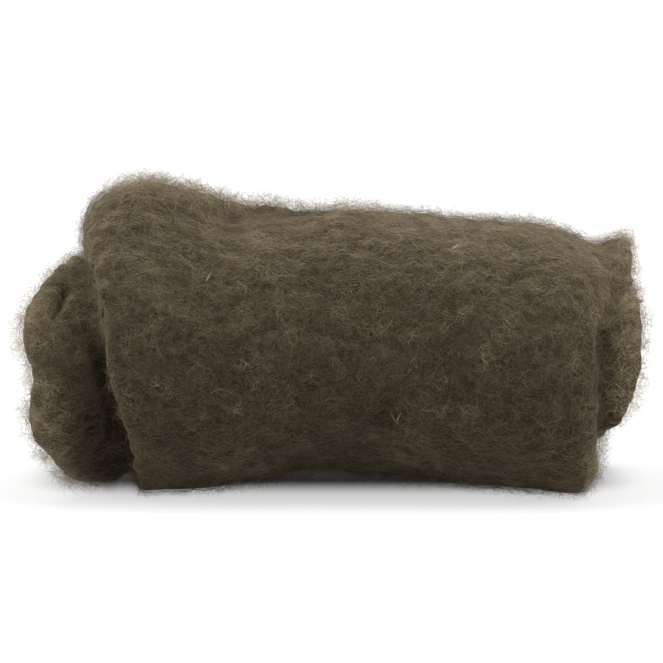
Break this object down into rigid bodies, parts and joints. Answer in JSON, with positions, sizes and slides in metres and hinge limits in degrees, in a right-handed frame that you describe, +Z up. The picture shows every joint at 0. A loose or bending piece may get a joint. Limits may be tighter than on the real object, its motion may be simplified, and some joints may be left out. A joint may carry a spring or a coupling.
{
  "type": "carded wool batt",
  "caption": "Carded wool batt: one thick soft sheet of brown fleece rolled up on its side, its inner turns standing out at both ends. For spinning, felting or filling.",
  "frame": {"origin": "on the floor, under the middle of the roll's bounding box", "axes": "+X along the roll towards its plainer end, -Y towards the viewer of the picture, +Z up"},
  "size_m": [0.2876, 0.1392, 0.1498],
  "materials": {
    "fleece": "matted, slightly lustrous wool fibre, natural brown"
  },
  "bodies": {
    "root": {"batt": "fleece"}
  },
  "joints": []
}
